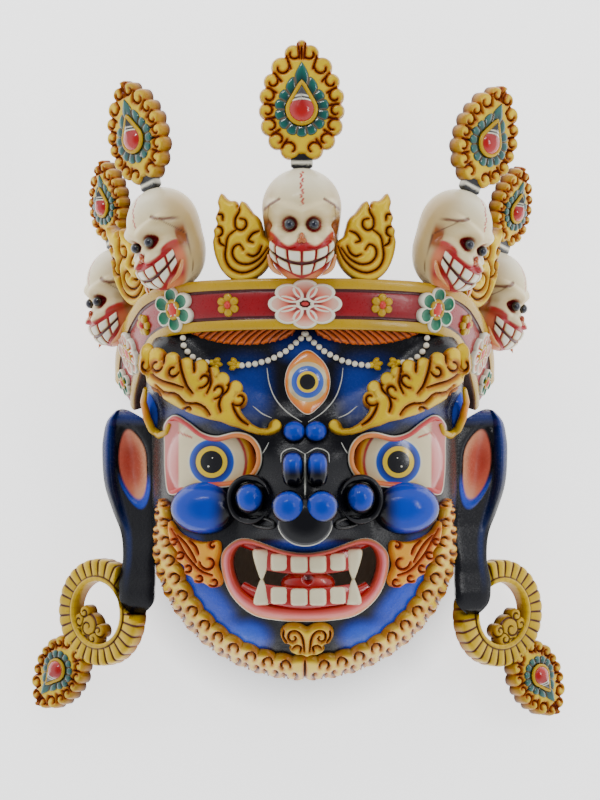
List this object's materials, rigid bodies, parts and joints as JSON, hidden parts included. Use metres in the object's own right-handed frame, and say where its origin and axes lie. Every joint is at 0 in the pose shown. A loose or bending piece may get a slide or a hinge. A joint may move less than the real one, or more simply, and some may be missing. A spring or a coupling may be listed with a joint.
{
  "type": "ceremonial dance mask",
  "caption": "Carved and painted wooden dance mask of a wrathful three-eyed protector, with a crown of skulls and jewelled finials and large hanging earrings.",
  "frame": {"origin": "under the middle of the mask's box, on the surface that its back rim lies on", "axes": "+Z straight out of the face, +Y from the chin to the crown, +X towards the right in the picture"},
  "size_m": [0.5654, 0.6924, 0.2576],
  "materials": {
    "face_lacquer": "gloss blue-black lacquer with royal blue highlights",
    "ear_lacquer": "gloss blue-black lacquer",
    "crown_lacquer": "gloss crimson lacquer between gold rims",
    "bone_paint": "gloss cream paint shaded orange-red",
    "gold_paint": "gold paint with red-brown grooves",
    "earring_gold": "gold paint with red-brown lines"
  },
  "bodies": {
    "root": {"head": "face_lacquer", "ear_left": "ear_lacquer", "ear_right": "ear_lacquer", "crown_band": "crown_lacquer", "skull_centre": "bone_paint", "finial_centre": "gold_paint", "skull_left": "bone_paint", "finial_left": "gold_paint", "skull_right": "bone_paint", "finial_right": "gold_paint", "skull_far_left": "bone_paint", "finial_far_left": "gold_paint", "skull_far_right": "bone_paint", "finial_far_right": "gold_paint", "wing_left": "gold_paint", "wing_right": "gold_paint", "wing_far_left": "gold_paint", "wing_far_right": "gold_paint", "earring_left": "earring_gold", "earring_right": "earring_gold"}
  },
  "joints": []
}
